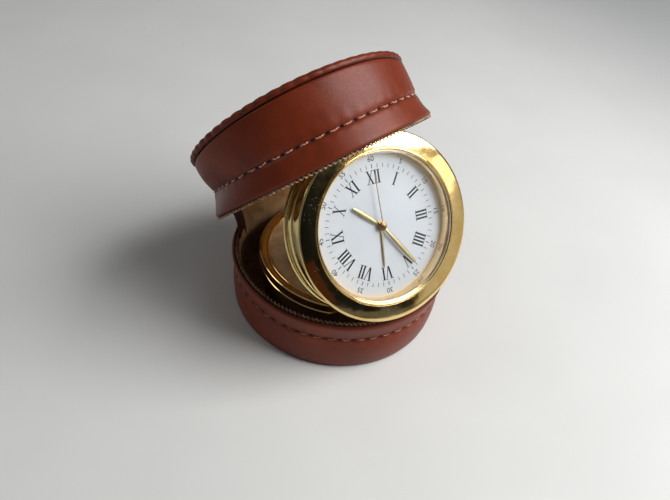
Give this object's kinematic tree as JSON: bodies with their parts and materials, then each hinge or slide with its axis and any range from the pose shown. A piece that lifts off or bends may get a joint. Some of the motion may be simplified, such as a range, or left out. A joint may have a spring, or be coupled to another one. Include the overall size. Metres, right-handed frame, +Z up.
{
  "type": "travel clock",
  "caption": "Round travel alarm clock: a gold head folds on its base inside a tan leather zip case with a hinged lid.",
  "frame": {"origin": "middle of the underside of the leather case, on the table", "axes": "+Z up; the dial faces -Y and leans back; +X to the reader's right; the case hinge is 16 degrees from +Y towards -X"},
  "size_m": [0.0882, 0.0939, 0.0994],
  "materials": {
    "leather": "smooth polished cowhide, warm chestnut tan",
    "leather_dark": "thin soft leather, darker",
    "suede": "short beige-brown suede nap",
    "tape": "woven brown zip tape",
    "zip_brass": "satin brass",
    "gold": "mirror-polished gold plate",
    "rose_gold": "satin pinkish gold",
    "hands_gold": "polished gold plate",
    "inlay": "matt beige velour",
    "steel": "brushed",
    "glass": "clear mineral glass",
    "dial_white": "matt white lacquer with black printing",
    "white_plastic": "plain",
    "black_plastic": "fine matt"
  },
  "bodies": {
    "lower_case": {"case_wall": "leather", "case_bottom": "leather", "case_lining": "suede", "clock_seat": "suede", "case_zip_tape": "tape", "case_zip_teeth": "zip_brass", "case_back_strip": "leather", "side_gussets": "leather_dark", "base_ring": "gold", "base_underplate": "steel", "base_inlay": "inlay", "base_hinge_leaf": "gold", "hinge_pin": "steel"},
    "lid": {"lid_wall": "leather", "lid_top": "leather", "lid_lining": "suede", "lid_zip_tape": "tape", "lid_zip_teeth": "zip_brass", "lid_back_strip": "leather"},
    "zip_slider": {"zip_slider": "zip_brass"},
    "zip_pull": {"zip_pull": "zip_brass"},
    "head": {"head_hinge_leaves": "gold", "head_shell": "gold", "bezel": "gold", "glass": "glass", "inner_ring": "rose_gold", "dial": "dial_white", "movement_holder": "white_plastic", "movement": "black_plastic", "hand_post": "zip_brass", "back_cover": "black_plastic", "battery": "steel", "sounder": "zip_brass", "cover_screws": "steel"},
    "battery_door": {"battery_door": "black_plastic"},
    "time_knob": {"time_knob": "black_plastic"},
    "alarm_knob": {"alarm_knob": "black_plastic"},
    "alarm_switch": {"alarm_switch": "steel"},
    "alarm_hand": {"alarm_hand": "hands_gold"},
    "hour_hand": {"hour_hand": "hands_gold"},
    "minute_hand": {"minute_hand": "hands_gold"},
    "second_hand": {"second_hand": "hands_gold"}
  },
  "joints": [
    {"name": "head_fold", "type": "hinge", "parent": "lower_case", "child": "head", "pos_m": [0, -0.0268, 0.0228], "axis": [1, 0, 0], "range_deg": [-57.6, 0]},
    {"name": "lid_hinge", "type": "hinge", "parent": "lower_case", "child": "lid", "pos_m": [-0.01036, 0.03614, 0.0232], "axis": [0.9613, 0.2756, 0], "range_deg": [-42, 1], "deforming": ["side_gussets"]},
    {"name": "zip_travel", "type": "hinge", "parent": "lower_case", "child": "zip_slider", "pos_m": [0, 0, 0.02415], "axis": [0, 0, -1], "range_deg": [0, 115]},
    {"name": "pull_swing", "type": "hinge", "parent": "zip_slider", "child": "zip_pull", "pos_m": [0.02217, 0.0369, 0.02415], "axis": [0, 0, -1], "range_deg": [0, 150]},
    {"name": "battery_door_slide", "type": "slide", "parent": "head", "child": "battery_door", "axis": [0, 0.5358, 0.8443], "range_m": [0, 0.005]},
    {"name": "alarm_switch_slide", "type": "slide", "parent": "head", "child": "alarm_switch", "axis": [0, 0.5358, 0.8443], "range_m": [0, 0.003]},
    {"name": "time_knob_turn", "type": "hinge", "parent": "head", "child": "time_knob", "pos_m": [-0.008, -0.01104, 0.05165], "axis": [0, 0.8443, -0.5358], "continuous": true},
    {"name": "alarm_knob_turn", "type": "hinge", "parent": "head", "child": "alarm_knob", "pos_m": [0.008, -0.01104, 0.05165], "axis": [0, 0.8443, -0.5358], "continuous": true},
    {"name": "minute_hand_turn", "type": "hinge", "parent": "head", "child": "minute_hand", "pos_m": [0, -0.02439, 0.05301], "axis": [0, 0.8443, -0.5358], "continuous": true},
    {"name": "hour_hand_turn", "type": "hinge", "parent": "head", "child": "hour_hand", "pos_m": [0, -0.02439, 0.05301], "axis": [0, 0.8443, -0.5358], "continuous": true},
    {"name": "alarm_hand_turn", "type": "hinge", "parent": "head", "child": "alarm_hand", "pos_m": [0, -0.02439, 0.05301], "axis": [0, 0.8443, -0.5358], "continuous": true},
    {"name": "second_hand_turn", "type": "hinge", "parent": "head", "child": "second_hand", "pos_m": [0, -0.02439, 0.05301], "axis": [0, 0.8443, -0.5358], "continuous": true}
  ],
  "couplings": [
    {"joint": "minute_hand_turn", "follows": "time_knob_turn", "ratio": 1},
    {"joint": "hour_hand_turn", "follows": "time_knob_turn", "ratio": 0.083333},
    {"joint": "alarm_hand_turn", "follows": "alarm_knob_turn", "ratio": 1}
  ]
}
